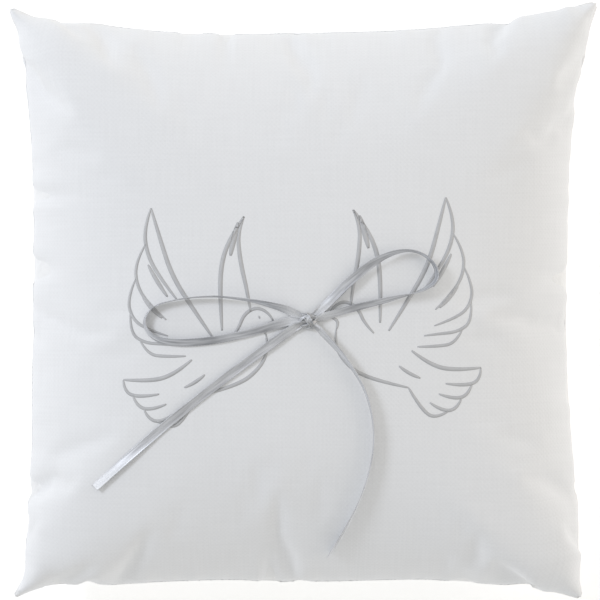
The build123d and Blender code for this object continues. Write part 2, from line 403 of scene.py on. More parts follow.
def weave_height(tree, pitch_mm):
    """Height of a plain weave in the cloth's own flat directions, with threads of uneven thickness."""
    flat = add(tree, "ShaderNodeAttribute", [("attribute_name", "flat_cloth")])
    split = add(tree, "ShaderNodeSeparateXYZ", (), [("Vector", flat, "Vector")])
    uneven = add(
        tree,
        "ShaderNodeTexNoise",
        [("Scale", 1 / (THREAD_WANDER_MM * MM)), ("Detail", 2.0)],
        [("Vector", flat, "Vector")],
    )
    waves = []
    for axis in ("X", "Y"):
        turns = add(
            tree,
            "ShaderNodeMath",
            [("operation", "MULTIPLY"), (1, pi / (pitch_mm * MM))],
            [(0, split, axis)],
        )
        wander = add(
            tree,
            "ShaderNodeMath",
            [("operation", "MULTIPLY_ADD"), (1, 1.6)],
            [(0, uneven, "Fac"), (2, turns, 0)],
        )
        waves.append(add(tree, "ShaderNodeMath", [("operation", "SINE")], [(0, wander, 0)]))
    over_under = add(
        tree,
        "ShaderNodeMath",
        [("operation", "MULTIPLY")],
        [(0, waves[0], 0), (1, waves[1], 0)],
    )
    long, wide = 1 / (SLUB_LENGTH_MM * MM), 1 / (SLUB_WIDTH_MM * MM)
    slubs_x = add(tree, "ShaderNodeMapping", [("Scale", (long, wide, 1))], [("Vector", flat, "Vector")])
    slubs_y = add(tree, "ShaderNodeMapping", [("Scale", (wide, long, 1))], [("Vector", flat, "Vector")])
    slub_a = add(tree, "ShaderNodeTexNoise", [("Scale", 1.0), ("Detail", 1.0)], [("Vector", slubs_x, 0)])
    slub_b = add(tree, "ShaderNodeTexNoise", [("Scale", 1.0), ("Detail", 1.0)], [("Vector", slubs_y, 0)])
    slubs = add(tree, "ShaderNodeMath", [("operation", "ADD")], [(0, slub_a, "Fac"), (1, slub_b, "Fac")])
    return add(
        tree,
        "ShaderNodeMath",
        [("operation", "MULTIPLY_ADD"), (1, 0.25)],
        [(0, over_under, 0), (2, slubs, 0)],
    )


def polycotton_plain_weave():
    """White polycotton: a matt cloth whose fine weave and slubs show only as a faint grain."""
    material, tree = new_material("polycotton_plain_weave")
    height = weave_height(tree, THREAD_PITCH_MM)
    tint = add(tree, "ShaderNodeMapRange", [("From Min", 0.4), ("From Max", 1.6)], [("Value", height, 0)])
    colour = add(tree, "ShaderNodeMix", [("data_type", "RGBA")], [("Factor", tint, 0)])
    colour.inputs[6].default_value = linear("#ECEDEE")
    colour.inputs[7].default_value = linear("#F2F3F4")
    bump = add(
        tree,
        "ShaderNodeBump",
        [("Strength", 0.35), ("Distance", 0.1 * MM)],
        [("Height", height, 0)],
    )
    shader = add(
        tree,
        "ShaderNodeBsdfPrincipled",
        [
            ("Roughness", 0.9),
            ("IOR", 1.45),
            ("Specular IOR Level", 0.2),
            ("Sheen Weight", 0.15),
            ("Sheen Roughness", 0.5),
        ],
        [("Base Color", colour, 2), ("Normal", bump, 0)],
    )
    add(tree, "ShaderNodeOutputMaterial", (), [("Surface", shader, 0)])
    return material


cover_cloth = polycotton_plain_weave()
for panel, node in ((front_panel, "front_panel"), (back_panel, "back_panel")):
    panel.data.materials.clear()
    panel.data.materials.append(cover_cloth)
    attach(panel, "pillow")
    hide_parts(node)


# ---------------------------------------------------------------------------------------------
# Dove print. A plain pair of facing doves with raised wings, screen-printed on the front panel
# in silver-grey ink before it is sewn: thin brush lines that swell and taper.
# ---------------------------------------------------------------------------------------------

INK_RISE_MM = 0.05
BRUSH_STEP_MM = 0.8
TIP_SHARE, BELLY_SHARE = 0.45, 0.75  # of a stroke's width at its tips, and more than that at its middle
# The left dove's strokes: the width of the brush, then the points that the stroke is drawn by, in mm
DOVE_STROKES = (
    (1.0, (-10.6, -6.2), (-12.2, -3.4), (-16.4, -1.6), (-20.6, -4.2), (-22.4, -9.4), (-25.6, -13.0)),  # head
    (0.9, (-10.6, -6.2), (-12.4, -7.4), (-14.0, -8.8), (-13.0, -11.2)),  # bill and chin
    (1.1, (-13.0, -11.2), (-12.2, -16.4), (-15.4, -22.6), (-22.6, -28.2), (-36.4, -31.8)),  # breast
    (1.1, (-15.0, -5.0), (-15.5, -5.2)),  # eye
    (1.3, (-30.6, -12.4), (-37.4, -2.6), (-44.6, 8.6), (-48.4, 20.0), (-51.8, 31.6)),  # far wing's edge
    (1.1, (-51.8, 31.6), (-54.2, 25.0), (-53.2, 16.0), (-48.4, 7.6), (-43.0, 0.8)),
    (0.9, (-53.6, 19.6), (-57.4, 13.0), (-56.4, 4.6), (-51.6, -1.6), (-46.6, -6.0)),
    (0.9, (-57.0, 7.8), (-60.0, 1.0), (-58.0, -6.0), (-52.6, -9.4), (-46.0, -11.4)),
    (0.9, (-58.8, -3.4), (-59.0, -10.4), (-54.0, -13.8), (-47.0, -14.2), (-42.4, -14.6)),
    (0.9, (-55.6, -12.8), (-53.0, -17.6), (-47.0, -18.4), (-40.0, -18.2)),
    (1.2, (-52.8, 12.6), (-50.0, 7.0), (-46.2, 1.8)),  # quills
    (1.2, (-54.6, 1.6), (-51.6, -2.4), (-48.0, -5.4)),
    (1.3, (-27.8, -9.6), (-28.6, 3.0), (-28.0, 14.0), (-24.6, 22.6), (-20.4, 28.8)),  # near wing
    (1.2, (-20.4, 28.8), (-22.6, 23.8), (-21.8, 14.0), (-19.4, 4.0), (-18.2, -3.2)),
    (1.6, (-22.4, 26.8), (-24.0, 21.4), (-25.0, 15.6)),
    (1.2, (-38.0, -19.4), (-44.0, -24.6), (-52.6, -26.8), (-61.2, -26.2)),  # tail
    (1.0, (-61.2, -26.2), (-61.0, -30.4), (-55.6, -32.2), (-49.0, -31.0)),
    (1.0, (-58.0, -31.4), (-56.6, -35.4), (-51.4, -36.4), (-46.6, -34.4)),
    (1.0, (-54.2, -36.2), (-52.6, -39.8), (-47.6, -40.4), (-43.4, -37.2)),
    (1.0, (-49.8, -40.2), (-45.0, -43.0), (-40.2, -39.0), (-36.4, -31.8)),
    (1.0, (-33.6, -24.4), (-36.6, -27.2), (-40.6, -28.8)),  # rump
)
FACING_LINE_X_MM = -1.4  # the right dove is the left one turned over about this line
RIGHT_DOVE_TURN = radians(2.5)
RIGHT_DOVE_RISE_MM = 1.4
INK_PATCH_MM = 3.85
INK_GRAIN_MM = 0.77  # the cloth's threads, felt through the ink


def smooth_line(points):
    """Places along the smooth curve that is steered by these points in millimetres, as rows in metres."""
    curve = bpy.data.curves.new("steered_line", "CURVE")
    curve.dimensions = "3D"
    spline = curve.splines.new("NURBS")
    spline.points.add(len(points) - 1)
    for control, place in zip(spline.points, points):
        control.co = (place[0] * MM, place[1] * MM, (place[2] if len(place) > 2 else 0) * MM, 1)
    spline.order_u = 3
    spline.use_endpoint_u = True
    spline.resolution_u = 16
    holder = bpy.data.objects.new("steered_line", curve)
    line_mesh = bpy.data.meshes.new_from_object(holder)
    line = read_points(line_mesh)
    bpy.data.objects.remove(holder)
    bpy.data.curves.remove(curve)
    bpy.data.meshes.remove(line_mesh)
    return line


def evenly_spaced(line, step_mm):
    """The same line at even steps, and how far along it each place is, in metres."""
    reached = np.concatenate([[0], np.cumsum(np.linalg.norm(np.diff(line, axis=0), axis=1))])
    along = np.linspace(0, reached[-1], max(3, round(reached[-1] / (step_mm * MM)) + 1))
    return np.stack([np.interp(along, reached, line[:, axis]) for axis in range(3)], 1), along


def tube_faces(sections, around, first=0):
    """Faces of a closed tube of sections with so many points around each."""
    faces = []
    for k in range(sections - 1):
        for a in range(around):
            here, after = first + k * around, first + (k + 1) * around
            faces.append((here + a, here + (a + 1) % around, after + (a + 1) % around, after + a))
    faces.append(tuple(first + a for a in range(around))[::-1])
    faces.append(tuple(first + (sections - 1) * around + a for a in range(around)))
    return faces


def new_piece(name, points, faces, material):
    """A smooth-shaded mesh object."""
    mesh = bpy.data.meshes.new(name)
    mesh.from_pydata([tuple(point) for point in points], [], faces)
    mesh.materials.append(material)
    mesh.shade_smooth()
    piece = bpy.data.objects.new(name, mesh)
    bpy.context.scene.collection.objects.link(piece)
    return piece


def brush_stroke(points, faces, line, width_mm):
    """Adds one stroke of ink on the cloth, a thin closed strip that tapers to both ends."""
    places, along = evenly_spaced(line, BRUSH_STEP_MM)
    share = along / along[-1]
    half = 0.5 * width_mm * MM * (TIP_SHARE + BELLY_SHARE * np.sin(pi * share) ** 0.6)
    ahead = np.gradient(places[:, :2], axis=0)
    ahead /= np.linalg.norm(ahead, axis=1)[:, None]
    first = len(points)
    for place, (dx, dy), reach in zip(places, ahead, half):
        aside_x, aside_y = dy * reach, dx * reach
        edges = [(place[0] - aside_x, place[1] + aside_y), (place[0] + aside_x, place[1] - aside_y)]
        heights = [cloth_height(x, y) for x, y in edges]
        for rise in (INK_RISE_MM, -INK_RISE_MM):
            for (x, y), height in zip(edges, heights):
                points.append((x, y, height + rise * MM))
            edges, heights = edges[::-1], heights[::-1]
    faces.extend(tube_faces(len(places), 4, first))


def screen_print_ink():
    """Silver-grey textile ink: soft and a little glossy, and paler in patches where it went on thinner."""
    material, tree = new_material("screen_print_ink_silver_grey")
    place = add(tree, "ShaderNodeTexCoord")
    patches = add(
        tree,
        "ShaderNodeTexNoise",
        [("Scale", 1 / (INK_PATCH_MM * MM)), ("Detail", 3.0)],
        [("Vector", place, "Object")],
    )
    colour = add(tree, "ShaderNodeMix", [("data_type", "RGBA")], [("Factor", patches, "Fac")])
    colour.inputs[6].default_value = linear("#BBBCBE")
    colour.inputs[7].default_value = linear("#CDCECF")
    threads = add(
        tree,
        "ShaderNodeTexNoise",
        [("Scale", 1 / (INK_GRAIN_MM * MM)), ("Detail", 1.0)],
        [("Vector", place, "Object")],
    )
    bump = add(
        tree,
        "ShaderNodeBump",
        [("Strength", 0.3), ("Distance", 0.05 * MM)],
        [("Height", threads, "Fac")],
    )
    shader = add(
        tree,
        "ShaderNodeBsdfPrincipled",
        [("Roughness", 0.55), ("IOR", 1.5), ("Specular IOR Level", 0.4)],
        [("Base Color", colour, 2), ("Normal", bump, 0)],
    )
    add(tree, "ShaderNodeOutputMaterial", (), [("Surface", shader, 0)])
    return material


ink_points, ink_faces = [], []
for width, *steered in DOVE_STROKES:
    brush_stroke(ink_points, ink_faces, smooth_line(steered), width)
    turned = []
    for x, y in steered:
        over_x, over_y = -x, y + RIGHT_DOVE_RISE_MM
        turned_x = over_x * cos(RIGHT_DOVE_TURN) - over_y * sin(RIGHT_DOVE_TURN)
        turned_y = over_x * sin(RIGHT_DOVE_TURN) + over_y * cos(RIGHT_DOVE_TURN)
        turned.append((turned_x + 2 * FACING_LINE_X_MM, turned_y))
    brush_stroke(ink_points, ink_faces, smooth_line(turned), width)
dove_print = new_piece("dove_print", ink_points, ink_faces, screen_print_ink())
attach(dove_print, "pillow")


# ---------------------------------------------------------------------------------------------
# Edge seam. A lockstitch in white polyester thread joins the panels; where the filling strains
# it, short lengths of the needle thread and the bobbin thread show in the valley between them.
# ---------------------------------------------------------------------------------------------

THREAD_RADIUS_MM = 0.15
STITCH_PITCH_MM = 2.6
STITCH_SHOWN_MM = 1.8
SEAM_END_MM = 5  # clear of the corner folds
PLY_PITCH_MM = 0.45  # a wave texture of scale 1 has 20 / tau waves to the metre

seam_sides = {}
for side, off_side, along_side in (
    ("foot", from_foot, flat_cloth[:, 0]),
    ("head", from_head, flat_cloth[:, 0]),
    ("left", from_left, flat_cloth[:, 1]),
    ("right", from_right, flat_cloth[:, 1]),
):
    on_side = np.nonzero(np.abs(off_side) < 1e-3)[0]
    seam_sides[side] = cloth_points[on_side[np.argsort(along_side[on_side])]]


def lay_thread(points, faces, line, radius_mm=THREAD_RADIUS_MM, around=6):
    """Adds a closed round thread along a line, its two ends drawn in."""
    line = [Vector(place) for place in line]
    side = (line[1] - line[0]).orthogonal()
    first = len(points)
    for k, here in enumerate(line):
        ahead = (line[min(k + 1, len(line) - 1)] - line[max(k - 1, 0)]).normalized()
        side = (side - side.dot(ahead) * ahead).normalized()
        other = ahead.cross(side)
        radius = radius_mm * MM * (0.4 if k in (0, len(line) - 1) else 1)
        for a in range(around):
            points.append(here + radius * (cos(tau * a / around) * side + sin(tau * a / around) * other))
    faces.extend(tube_faces(len(line), around, first))


def spun_polyester_thread():
    """White spun polyester thread: soft-edged, with the faint light and shade of its two plies."""
    material, tree = new_material("spun_polyester_thread")
    place = add(tree, "ShaderNodeTexCoord")
    plies = add(
        tree,
        "ShaderNodeTexWave",
        [("Scale", tau / 20 / (PLY_PITCH_MM * MM)), ("Distortion", 1.0)],
        [("Vector", place, "Object")],
    )
    colour = add(tree, "ShaderNodeMix", [("data_type", "RGBA")], [("Factor", plies, "Fac")])
    colour.inputs[6].default_value = linear("#DCDEDF")
    colour.inputs[7].default_value = linear("#EEEFEF")
    bump = add(
        tree,
        "ShaderNodeBump",
        [("Strength", 0.5), ("Distance", 0.05 * MM)],
        [("Height", plies, "Fac")],
    )
    shader = add(
        tree,
        "ShaderNodeBsdfPrincipled",
        [("Roughness", 0.6)],
        [("Base Color", colour, 2), ("Normal", bump, 0)],
    )
    add(tree, "ShaderNodeOutputMaterial", (), [("Surface", shader, 0)])
    return material


white_thread = spun_polyester_thread()
for name, node, lift, start_share in (
    ("needle_stitches", "seam_needle_thread", 1, 0),
    ("bobbin_stitches", "seam_bobbin_thread", -1, 0.5),
):
    stitch_points, stitch_faces = [], []
    for seam_line in seam_sides.values():
        fine, along = evenly_spaced(seam_line, 0.3)
        first_middle = SEAM_END_MM + start_share * STITCH_PITCH_MM
        middles = np.arange(first_middle, along[-1] / MM - SEAM_END_MM, STITCH_PITCH_MM)
        for middle in middles:
            shown = middle + STITCH_SHOWN_MM * np.array([-0.5, -0.35, 0, 0.35, 0.5])
            stitch = np.stack([np.interp(shown * MM, along, fine[:, axis]) for axis in range(3)], 1)
            outwards = stitch[2] * (1, 1, 0) / np.linalg.norm(stitch[2, :2])
            arch = np.array([-1, 0.3, 1, 0.3, -1])[:, None] * THREAD_RADIUS_MM * MM
            stitch = stitch + outwards * arch + (0, 0, lift * THREAD_RADIUS_MM * MM)
            lay_thread(stitch_points, stitch_faces, stitch)
    stitches = new_piece(name, stitch_points, stitch_faces, white_thread)
    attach(stitches, "pillow")
    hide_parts(node)


# ---------------------------------------------------------------------------------------------
# Filling. Loose polyester fibre, pushed in through the gap in the foot seam until the cover is
# firm. It isn't seen: a closed body just inside the cloth stands for it.
# ---------------------------------------------------------------------------------------------

FIBRE_INSET_MM = 1.0
TUFT_MM = 8.3

fibre_mesh = sewn_panels()
inner = filled.copy()
middle = np.array([filled[:, 0].mean(), filled[:, 1].mean(), SEAM_RISE_MM * MM])
half_size = np.array([HEAD_RIGHT.x, HEAD_RIGHT.x, SEAM_RISE_MM]) * MM
inner = middle + (inner - middle) * (1 - FIBRE_INSET_MM * MM / half_size)
write_points(fibre_mesh, inner)
filling = bpy.data.objects.new("fibre_filling", fibre_mesh)
bpy.context.scene.collection.objects.link(filling)


def polyester_fibre():
    """Carded polyester fibre: white, matt and tufted."""
    material, tree = new_material("polyester_fibre_carded")
    place = add(tree, "ShaderNodeTexCoord")
    tufts = add(
        tree,
        "ShaderNodeTexNoise",
        [("Scale", 1 / (TUFT_MM * MM)), ("Detail", 6.0), ("Distortion", 1.5)],
        [("Vector", place, "Object")],
    )
    bump = add(
        tree,
        "ShaderNodeBump",
        [("Strength", 0.8), ("Distance", 1.0 * MM)],
        [("Height", tufts, "Fac")],
    )
    colour = add(tree, "ShaderNodeMix", [("data_type", "RGBA")], [("Factor", tufts, "Fac")])
    colour.inputs[6].default_value = linear("#E9EAEA")
    colour.inputs[7].default_value = linear("#FAFAFA")
    shader = add(
        tree,
        "ShaderNodeBsdfPrincipled",
        [("Roughness", 1.0)],
        [("Base Color", colour, 2), ("Normal", bump, 0)],
    )
    add(tree, "ShaderNodeOutputMaterial", (), [("Surface", shader, 0)])
    return material


fibre_mesh.materials.append(polyester_fibre())
fibre_mesh.polygons.foreach_set("material_index", [0] * len(fibre_mesh.polygons))
fibre_mesh.shade_smooth()
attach(filling, "pillow")
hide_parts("filling")


# ---------------------------------------------------------------------------------------------
# Closing stitches. The gap that the filling went in by is closed by hand, with short upright
# slip stitches of the same thread over the two folded edges of the foot seam.
# ---------------------------------------------------------------------------------------------

CLOSING_PITCH_MM = 4.0
CLOSING_HALF_MM = 1.2
CLOSING_SLANT_MM = 0.3
OUTSIDE_FOOT = -0.2  # in metres

closing_low, closing_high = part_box("closing_stitches")
closing_points, closing_faces = [], []
foot_line = seam_sides["foot"]
for x in np.arange(closing_low.x, closing_high.x, CLOSING_PITCH_MM * MM):
    seam_z = np.interp(x, foot_line[:, 0], foot_line[:, 2])
    stitch = []
    for share in (-1, -0.8, 0, 0.8, 1):
        slanted, height = x + share * CLOSING_SLANT_MM * MM, seam_z + share * CLOSING_HALF_MM * MM
        on_cloth, *_ = cover_tree.ray_cast(Vector((slanted, OUTSIDE_FOOT, height)), Vector((0, 1, 0)))
        stitch.append(on_cloth)
    over = min(place.y for place in stitch) - 0.6 * THREAD_RADIUS_MM * MM
    for place in stitch[1:4]:
        place.y = over
    lay_thread(closing_points, closing_faces, stitch)
closing_stitches = new_piece("slip_stitches", closing_points, closing_faces, white_thread)
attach(closing_stitches, "pillow")
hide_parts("closing_stitches")


# ---------------------------------------------------------------------------------------------
# Tack. Two turns of the same white thread go through the front panel and the back of the knot,
# and hold the bow to the pillow.
# ---------------------------------------------------------------------------------------------

TACK_RADIUS_MM = 1.5
TACK_RISE_SHARE = 0.6  # how high a turn stands, as a share of its radius
TACK_SPREAD_MM = 1.2
KNOT_TURN = radians(20)

knot_low, knot_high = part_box("ribbon_knot")
knot_place = (knot_low + knot_high) / 2
knot_cloth = cloth_height(knot_place.x, knot_place.y)


def at_knot(x, y, z):
    """A place in metres, from millimetres along the knot, across it and up from the cloth under it."""
    turned_x = (x * cos(KNOT_TURN) - y * sin(KNOT_TURN)) * MM
    turned_y = (x * sin(KNOT_TURN) + y * cos(KNOT_TURN)) * MM
    return Vector((knot_place.x + turned_x, knot_place.y + turned_y, knot_cloth + z * MM))


tack_points, tack_faces = [], []
for x in (-TACK_SPREAD_MM / 2, TACK_SPREAD_MM / 2):
    turn = []
    for angle in range(-20, 201, 20):
        y = TACK_RADIUS_MM * cos(radians(angle))
        z = TACK_RADIUS_MM * TACK_RISE_SHARE * sin(radians(angle))
        turn.append(at_knot(x, y, z))
    lay_thread(tack_points, tack_faces, turn)
tack = new_piece("tacking_turns", tack_points, tack_faces, white_thread)
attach(tack, "pillow")
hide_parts("knot_tacking")


# ---------------------------------------------------------------------------------------------
# Knot. The middle of the bow: 3 mm double-faced satin ribbon, pulled into a tight knot, so that
# its folds are crushed into a small lump, which is painted bright with glinting highlight.
# ---------------------------------------------------------------------------------------------

RIBBON_WIDTH_MM = 3.0
RIBBON_THICK_MM = 0.16
THICK_AT = {0.93: 0.3, 1: 0.08}  # the corded selvedge and its outer edge, by their place across, in mm
RIBBON_STEP_MM = 0.3
PICOT_PITCH_MM = 1.0  # the tiny loops of weft along the selvedge, drawn coarser than they are
PICOT_REACH_MM = 0.07
ACROSS = np.array([-1, -0.93, -0.8, -0.5, 0, 0.5, 0.8, 0.93, 1])  # places across, in half widths


def ribbon_sections(line, along, tilt, gather, crease):
    """Cross-sections of a flat ribbon along a line, as an array of rings of points. Tilt turns its face
    from flat, 0, onto its edge, 90 degrees. Gather is the share of its width that is left where it is
    pleated, and crease is how high the middle stands over the edges, in millimetres."""
    ahead = np.gradient(line, axis=0)
    ahead /= np.linalg.norm(ahead, axis=1)[:, None]
    aside = np.cross(ahead, (0, 0, 1))
    aside /= np.linalg.norm(aside, axis=1)[:, None]
    upward = np.cross(aside, ahead)
    turn = np.radians(tilt)[:, None]
    width_way = np.cos(turn) * aside + np.sin(turn) * upward
    face_way = np.cos(turn) * upward - np.sin(turn) * aside
    picot = PICOT_REACH_MM * np.sin(along / MM * tau / PICOT_PITCH_MM)
    rings = []
    for side in (1, -1):
        for k in ACROSS[::side]:
            reach = k * (0.5 * RIBBON_WIDTH_MM * gather + picot * (abs(k) > 0.9))
            pleat = 0.5 * RIBBON_WIDTH_MM * np.sqrt(np.clip(1 - gather ** 2, 0, 1))
            pleat *= abs(1 - 2 * abs(k)) - 0.5
            thick = THICK_AT.get(abs(k), RIBBON_THICK_MM)
            rise = crease * (1 - abs(k) ** 1.5) + pleat + side * thick / 2
            rings.append(line + (width_way * reach[:, None] + face_way * rise[:, None]) * MM)
    return np.stack(rings, 1)


FLOAT_PITCH_MM = 0.9  # real floats lie about 0.15 mm apart; drawn coarser, so that they show
FLOAT_LENGTH_MM = 11.1
GLITTER_LENGTH_MM, GLITTER_WIDTH_MM = 0.455, 0.385


def double_faced_satin():
    """Silver-grey polyester satin: long floats run along the ribbon, so it has a soft metallic gloss, and
    the dark and pale lines along its length are painted sheen. Where the ribbon_place attribute's third
    value is high, a painted highlight makes it paler and glittering: near the knot, at a tail's cut end and
    by a set share all along each part."""
    material, tree = new_material("double_faced_satin_silver_grey")
    woven = add(tree, "ShaderNodeAttribute", [("attribute_name", "ribbon_place")])
    painted_glint = add(tree, "ShaderNodeSeparateXYZ", (), [("Vector", woven, "Vector")])
    floats = add(
        tree,
        "ShaderNodeMapping",
        [("Scale", (1 / (FLOAT_LENGTH_MM * MM), 1 / (FLOAT_PITCH_MM * MM), 0))],
        [("Vector", woven, "Vector")],
    )
    lines = add(tree, "ShaderNodeTexNoise", [("Scale", 1.0), ("Detail", 2.0)], [("Vector", floats, 0)])
    contrast = add(
        tree,
        "ShaderNodeMapRange",
        [("From Min", 0.3), ("From Max", 0.7)],
        [("Value", lines, "Fac")],
    )
    grain = add(
        tree,
        "ShaderNodeMapping",
        [("Scale", (1 / (GLITTER_LENGTH_MM * MM), 1 / (GLITTER_WIDTH_MM * MM), 0))],
        [("Vector", woven, "Vector")],
    )
    glitter = add(tree, "ShaderNodeTexNoise", [("Scale", 1.0), ("Detail", 1.0)], [("Vector", grain, 0)])
    # Painted sheen: the float lines mix a dark and a pale grey into the colour, as streaks of gloss and
    # shade along the ribbon.
    satin = add(tree, "ShaderNodeMix", [("data_type", "RGBA")], [("Factor", contrast, 0)])
    satin.inputs[6].default_value = linear("#9A9CA1")
    satin.inputs[7].default_value = linear("#DEE0E4")
    # Painted highlight: where the painted glint is high, the colour turns to a pale grey that glitters with
    # white.
    glint_colour = add(tree, "ShaderNodeMix", [("data_type", "RGBA")], [("Factor", glitter, "Fac")])
    glint_colour.inputs[6].default_value = linear("#C4C7CB")
    glint_colour.inputs[7].default_value = linear("#FFFFFF")
    colour = add(
        tree,
        "ShaderNodeMix",
        [("data_type", "RGBA")],
        [("Factor", painted_glint, "Z"), (6, satin, 2), (7, glint_colour, 2)],
    )
    rough = add(tree, "ShaderNodeMapRange", [("To Min", 0.34), ("To Max", 0.6)], [("Value", painted_glint, "Z")])
    relief = add(
        tree,
        "ShaderNodeMath",
        [("operation", "MULTIPLY_ADD")],
        [(0, glitter, "Fac"), (1, painted_glint, "Z"), (2, lines, "Fac")],
    )
    bump = add(
        tree,
        "ShaderNodeBump",
        [("Strength", 0.6), ("Distance", 0.06 * MM)],
        [("Height", relief, 0)],
    )
    shader = add(
        tree,
        "ShaderNodeBsdfPrincipled",
        [("Metallic", 0.55), ("IOR", 1.5), ("Sheen Weight", 0.2), ("Sheen Roughness", 0.4)],
        [("Base Color", colour, 2), ("Roughness", rough, 0), ("Normal", bump, 0)],
    )
    add(tree, "ShaderNodeOutputMaterial", (), [("Surface", shader, 0)])
    return material


def ribbon_piece(name, strips, material):
    """One piece of ribbon from one or more strips, each given as its rings of points, how far along each
    ring is and how much painted highlight its satin has there, from 0 to 1."""
    points, faces, woven = [], [], []
    for rings, along, painted_glint in strips:
        around = rings.shape[1]
        faces.extend(tube_faces(len(rings), around, len(points)))
        points.extend(rings.reshape(-1, 3))
        across = np.concatenate([ACROSS, ACROSS[::-1]]) * 0.5 * RIBBON_WIDTH_MM * MM
        woven.extend((place, reach, glint_here) for place, glint_here in zip(along, painted_glint) for reach in across)
    piece = new_piece(name, points, faces, material)
    attribute = piece.data.attributes.new("ribbon_place", "FLOAT_VECTOR", "POINT")
    attribute.data.foreach_set("vector", np.array(woven, np.float32).ravel())
    return piece


# Each fold of the knot: points along it, in mm along, across and up from the middle of the knot, and
# its tilt in degrees at even shares of its length.
KNOT_FOLDS = (
    (
        (
            (-0.6, 1.2, 0.1), (-0.5, 2.2, 1.2), (-0.1, 1.2, 2.7), (0.3, -0.6, 3.1), (0.5, -2.0, 1.9),
            (0.4, -2.1, 0.5), (0.2, -1.2, 0.1),
        ),
        (0, 0),
    ),
    (
        ((-2.7, 0.9, 0.9), (-1.6, 1.5, 1.9), (0.2, 1.6, 2.1), (1.7, 1.0, 1.7), (2.8, 0.5, 1.0)),
        (60, 40, 25, 40, 60),
    ),
    (
        ((-2.6, -1.1, 0.8), (-1.2, -1.5, 1.8), (0.6, -1.6, 1.9), (2.0, -0.9, 1.6), (2.7, -0.4, 0.8)),
        (-65, -50, -30, -45, -60),
    ),
    (((-2.5, -0.2, 0.6), (-1.0, 0.0, 1.7), (0.8, 0.0, 1.8), (2.5, 0.1, 0.7)), (15, -20, 20, -10)),
)
KNOT_PAINTED_GLINT = 0.9  # share of painted highlight on the satin at the knot, which makes it pale and glittering
CRUSHED_WIDTH, CRUSH_WAVE = 0.62, 0.1  # shares of its width that a fold keeps, and by which that varies

silver_satin = double_faced_satin()
folds = []
for steered, tilts in KNOT_FOLDS:
    line, along = evenly_spaced(smooth_line(steered), RIBBON_STEP_MM / 2)
    line = np.array([at_knot(*(place / MM)) for place in line])
    tilt = np.interp(along / along[-1], np.linspace(0, 1, len(tilts)), tilts)
    crush = CRUSHED_WIDTH + CRUSH_WAVE * np.sin(along / MM * 2.1)
    rings = ribbon_sections(line, along, tilt, crush, 0.1 * crush)
    folds.append((rings, along, np.full(len(along), KNOT_PAINTED_GLINT)))
knot = ribbon_piece("bow_knot", folds, silver_satin)
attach(knot, "pillow")
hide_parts("ribbon_knot")
